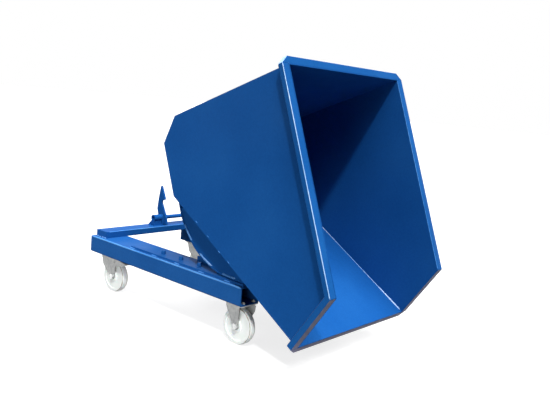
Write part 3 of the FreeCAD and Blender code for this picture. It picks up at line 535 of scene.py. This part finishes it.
REACH = 60.0
FLOOR_GLOW = 0.8
floor_mesh = bpy.data.meshes.new("floor")
floor_mesh.from_pydata(
    [(-REACH, -REACH, 0), (REACH, -REACH, 0), (REACH, REACH, 0), (-REACH, REACH, 0)], [], [(0, 1, 2, 3)])
floor = link("floor", floor_mesh)
floor_mat, floor_tree, floor_shader = new_material("pale_floor")
floor_coords = coordinates(floor_tree, "Object")
floor_seen = white_to_eye(floor_tree)
broad_cloud = noise(floor_tree, floor_coords, scale=0.6)
close_cloud = noise(floor_tree, floor_coords, scale=1.4)
floor_tone = ramp(floor_tree, broad_cloud, [(0.3, grey(0.33)), (0.7, grey(0.35))])
floor_grey = ramp(floor_tree, close_cloud, [(0.3, grey(0.06)), (0.7, grey(0.08))])
floor_colour = mix(floor_tree, floor_seen, floor_grey, floor_tone)
floor_glow = calc(floor_tree, "MULTIPLY", floor_seen, FLOOR_GLOW)
floor_tree.links.new(floor_colour, floor_shader.inputs["Base Color"])
floor_tree.links.new(floor_glow, floor_shader.inputs["Emission Strength"])
floor_shader.inputs["Emission Color"].default_value = (1.0, 1.0, 1.0, 1.0)
floor_shader.inputs["Roughness"].default_value = 0.9
floor_shader.inputs["Specular IOR Level"].default_value = 0.1
floor_mesh.materials.append(floor_mat)
floor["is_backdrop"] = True

# White to the eye, and a dim hall with a pale ceiling to everything else.
HALL = [(0.0, (0.02, 0.02, 0.021)), (0.35, (0.05, 0.05, 0.052)), (1.0, grey(0.4))]
world = bpy.data.worlds.new("studio")
scene.world = world
world.use_nodes = True
sky = world.node_tree
height = split(sky, coordinates(sky, "Generated"))["Z"]
hall = ramp(sky, remap(sky, height, 0.0, 1.0, 0.0, 1.0), HALL)
background = sky.nodes["Background"]
sky.links.new(mix(sky, white_to_eye(sky), hall, grey(1.0)), background.inputs["Color"])
background.inputs["Strength"].default_value = 1.0


# Lights

SPOT_PLACE = (2.4, -1.0, 0.1)
SPOT_BLEND = 0.4
SPOT_RADIUS = 0.08


def aim(obj, heading):
    obj.rotation_euler = Vector(heading).to_track_quat("-Z", "Y").to_euler()


def sun_light(name, source, strength, spread):
    """A sun that shines from source, as wide as spread in degrees."""
    lamp = bpy.data.lights.new(name, "SUN")
    lamp.energy = strength
    lamp.angle = math.radians(spread)
    aim(link(name, lamp), -Vector(source))


def placed_light(name, lamp, place, target):
    obj = link(name, lamp)
    obj.location = place
    aim(obj, Vector(target) - Vector(place))


def area_light(name, place, target, size, power):
    lamp = bpy.data.lights.new(name, "AREA")
    lamp.shape = "RECTANGLE"
    lamp.size, lamp.size_y = size
    lamp.energy = power
    placed_light(name, lamp, place, target)


def wheel_light(name, target, power, cone):
    """A low spot on the tread of one wheel."""
    lamp = bpy.data.lights.new(name, "SPOT")
    lamp.energy = power
    lamp.spot_size = math.radians(cone)
    lamp.spot_blend = SPOT_BLEND
    lamp.shadow_soft_size = SPOT_RADIUS
    placed_light(name, lamp, SPOT_PLACE, target)


sun_light("key", (0.38, -0.02, 0.925), 5.15, 56)
sun_light("side", (0.42, -0.45, 0.79), 1.75, 3.5)
area_light("side_fill", (-1.1, -2.2, 1.3), (-0.1, -0.45, 0.7), (1.2, 1.0), 9)
area_light("low_fill", (1.3, -3.1, 0.3), (0.1, -0.4, 0.12), (2.2, 0.4), 24)
area_light("back_fill", (-1.7, 3.6, 3.0), (0.0, 0.2, 0.6), (1.6, 1.6), 80)
wheel_light("front_wheel_fill", (0.5475, -0.362, 0.085), 60, 6.4)
wheel_light("rear_wheel_fill", (-0.5475, -0.362, 0.085), 140, 4.2)


# Camera, as fitted to the photograph: focal length in pixels of its width, and angles in degrees.
FOCAL_PIXELS = 669.3
IMAGE_WIDTH = 550
SENSOR_WIDTH = 36.0
CAMERA_PLACE = (2.8485, -2.844, 1.301)
YAW, PITCH, ROLL = math.radians(40.612), math.radians(-9.23), math.radians(5.259)
camera_data = bpy.data.cameras.new("camera")
camera_data.sensor_fit = "HORIZONTAL"
camera_data.sensor_width = SENSOR_WIDTH
camera_data.lens = FOCAL_PIXELS / IMAGE_WIDTH * SENSOR_WIDTH
camera = link("camera", camera_data)
forward = Vector((-math.sin(YAW) * math.cos(PITCH), math.cos(YAW) * math.cos(PITCH), math.sin(PITCH)))
level = Vector((math.cos(YAW), math.sin(YAW), 0.0))
upright = level.cross(forward)
right = level * math.cos(ROLL) + upright * math.sin(ROLL)
top = upright * math.cos(ROLL) - level * math.sin(ROLL)
facing = Matrix((right, top, -forward)).transposed().to_4x4()
camera.matrix_world = Matrix.Translation(CAMERA_PLACE) @ facing
scene.camera = camera
scene.view_settings.view_transform = "Standard"

low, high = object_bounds()
